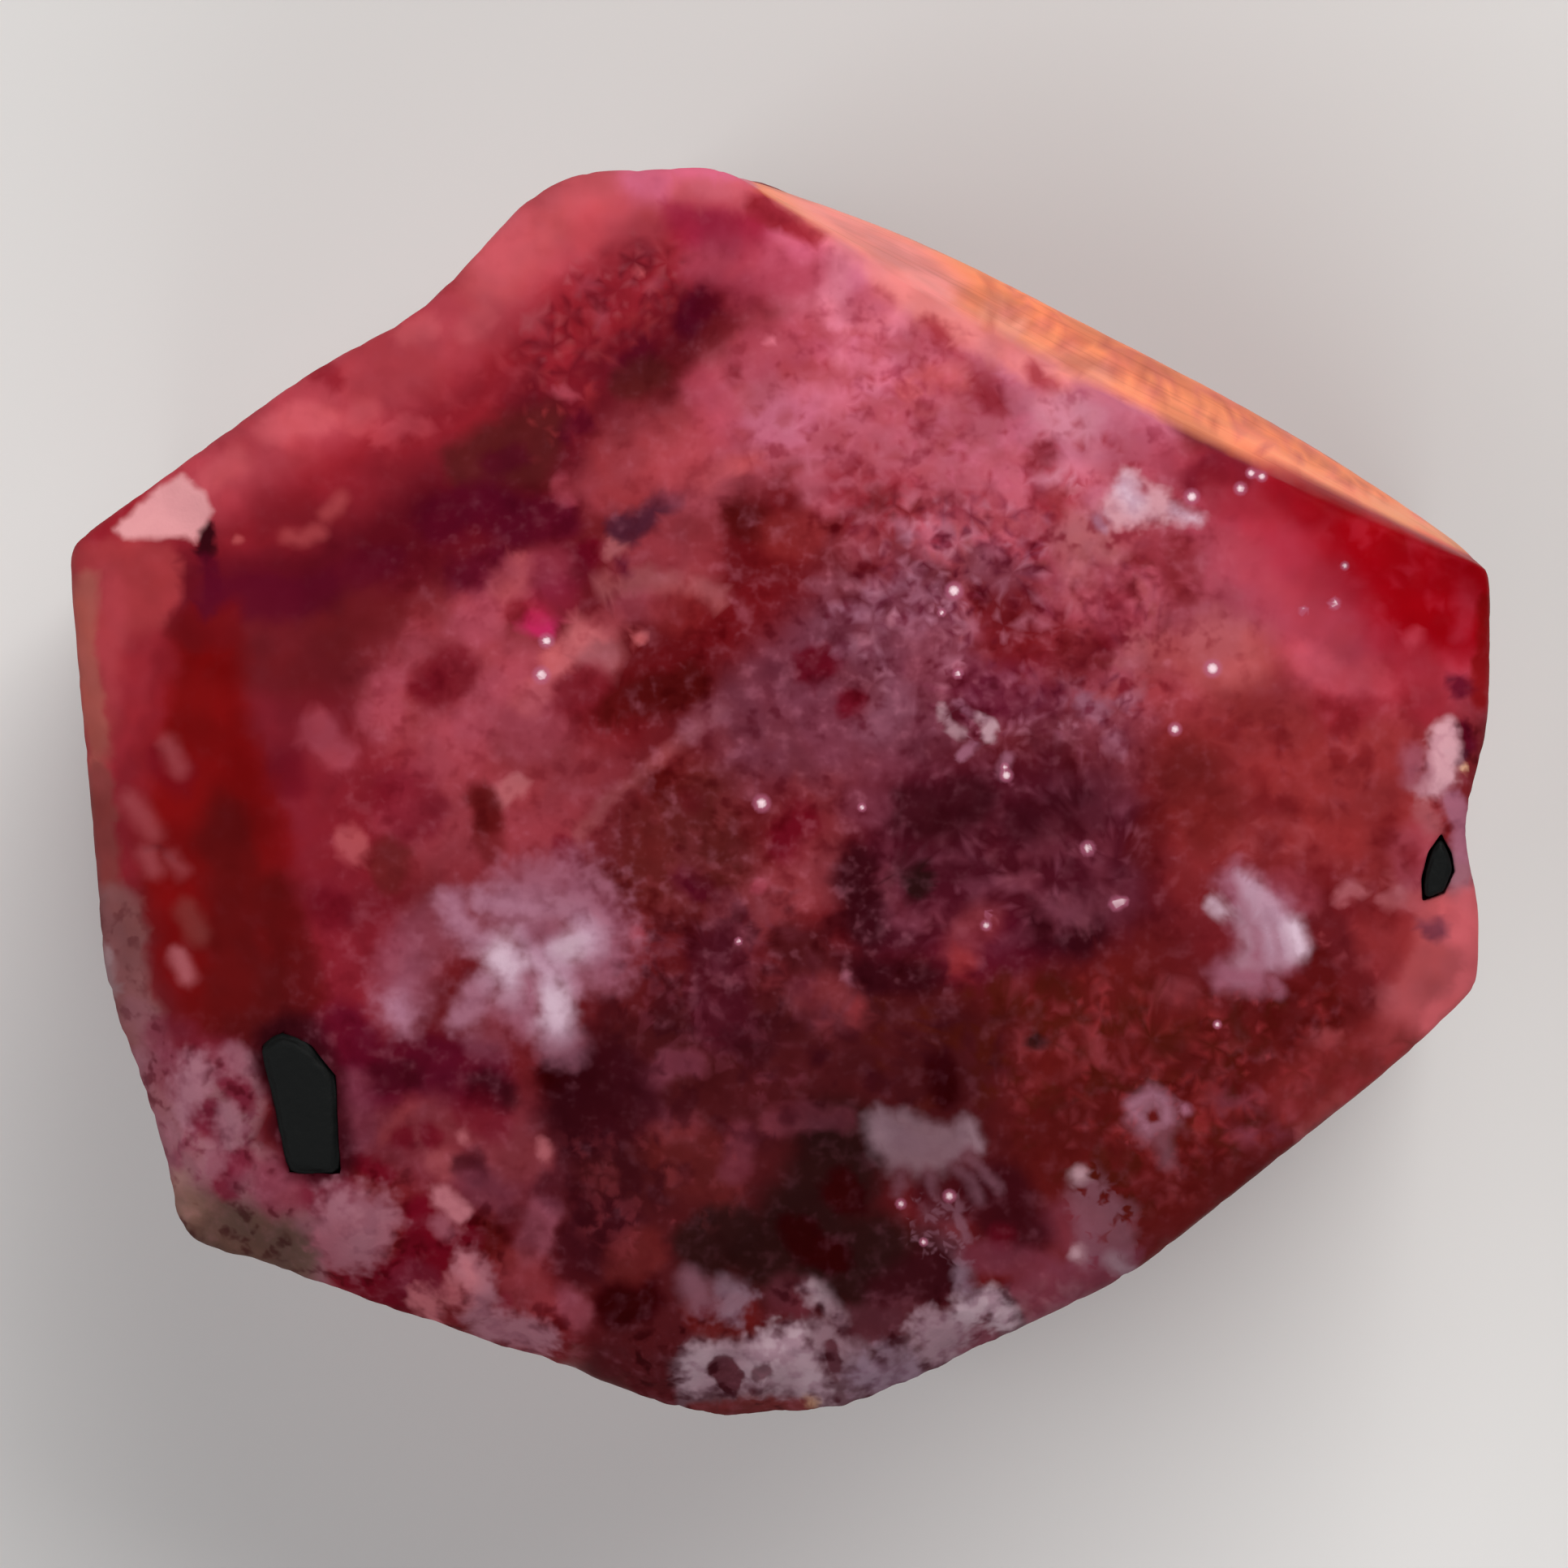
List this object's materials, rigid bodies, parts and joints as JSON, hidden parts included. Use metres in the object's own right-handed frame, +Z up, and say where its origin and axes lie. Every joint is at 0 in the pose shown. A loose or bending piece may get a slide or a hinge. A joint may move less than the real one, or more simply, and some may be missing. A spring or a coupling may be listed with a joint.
{
  "type": "red beryl crystal",
  "caption": "Stubby six-sided red beryl crystal standing on its base, with a stepped end face, a pale crusted rim and black bixbyite grains.",
  "frame": {"origin": "centre of the bounding box's bottom face, on the surface that the flat base rests on", "axes": "+Z up along the prism's axis, out of the end face; +X across the prism towards its east face, beside the small black grain; +Y towards the north face"},
  "size_m": [0.0112, 0.0098, 0.0079],
  "materials": {
    "red_beryl": "gloss",
    "bixbyite": "satin"
  },
  "bodies": {
    "root": {"beryl_crystal": "red_beryl", "bixbyite_long_grain": "bixbyite", "bixbyite_rim_grain": "bixbyite"}
  },
  "joints": []
}
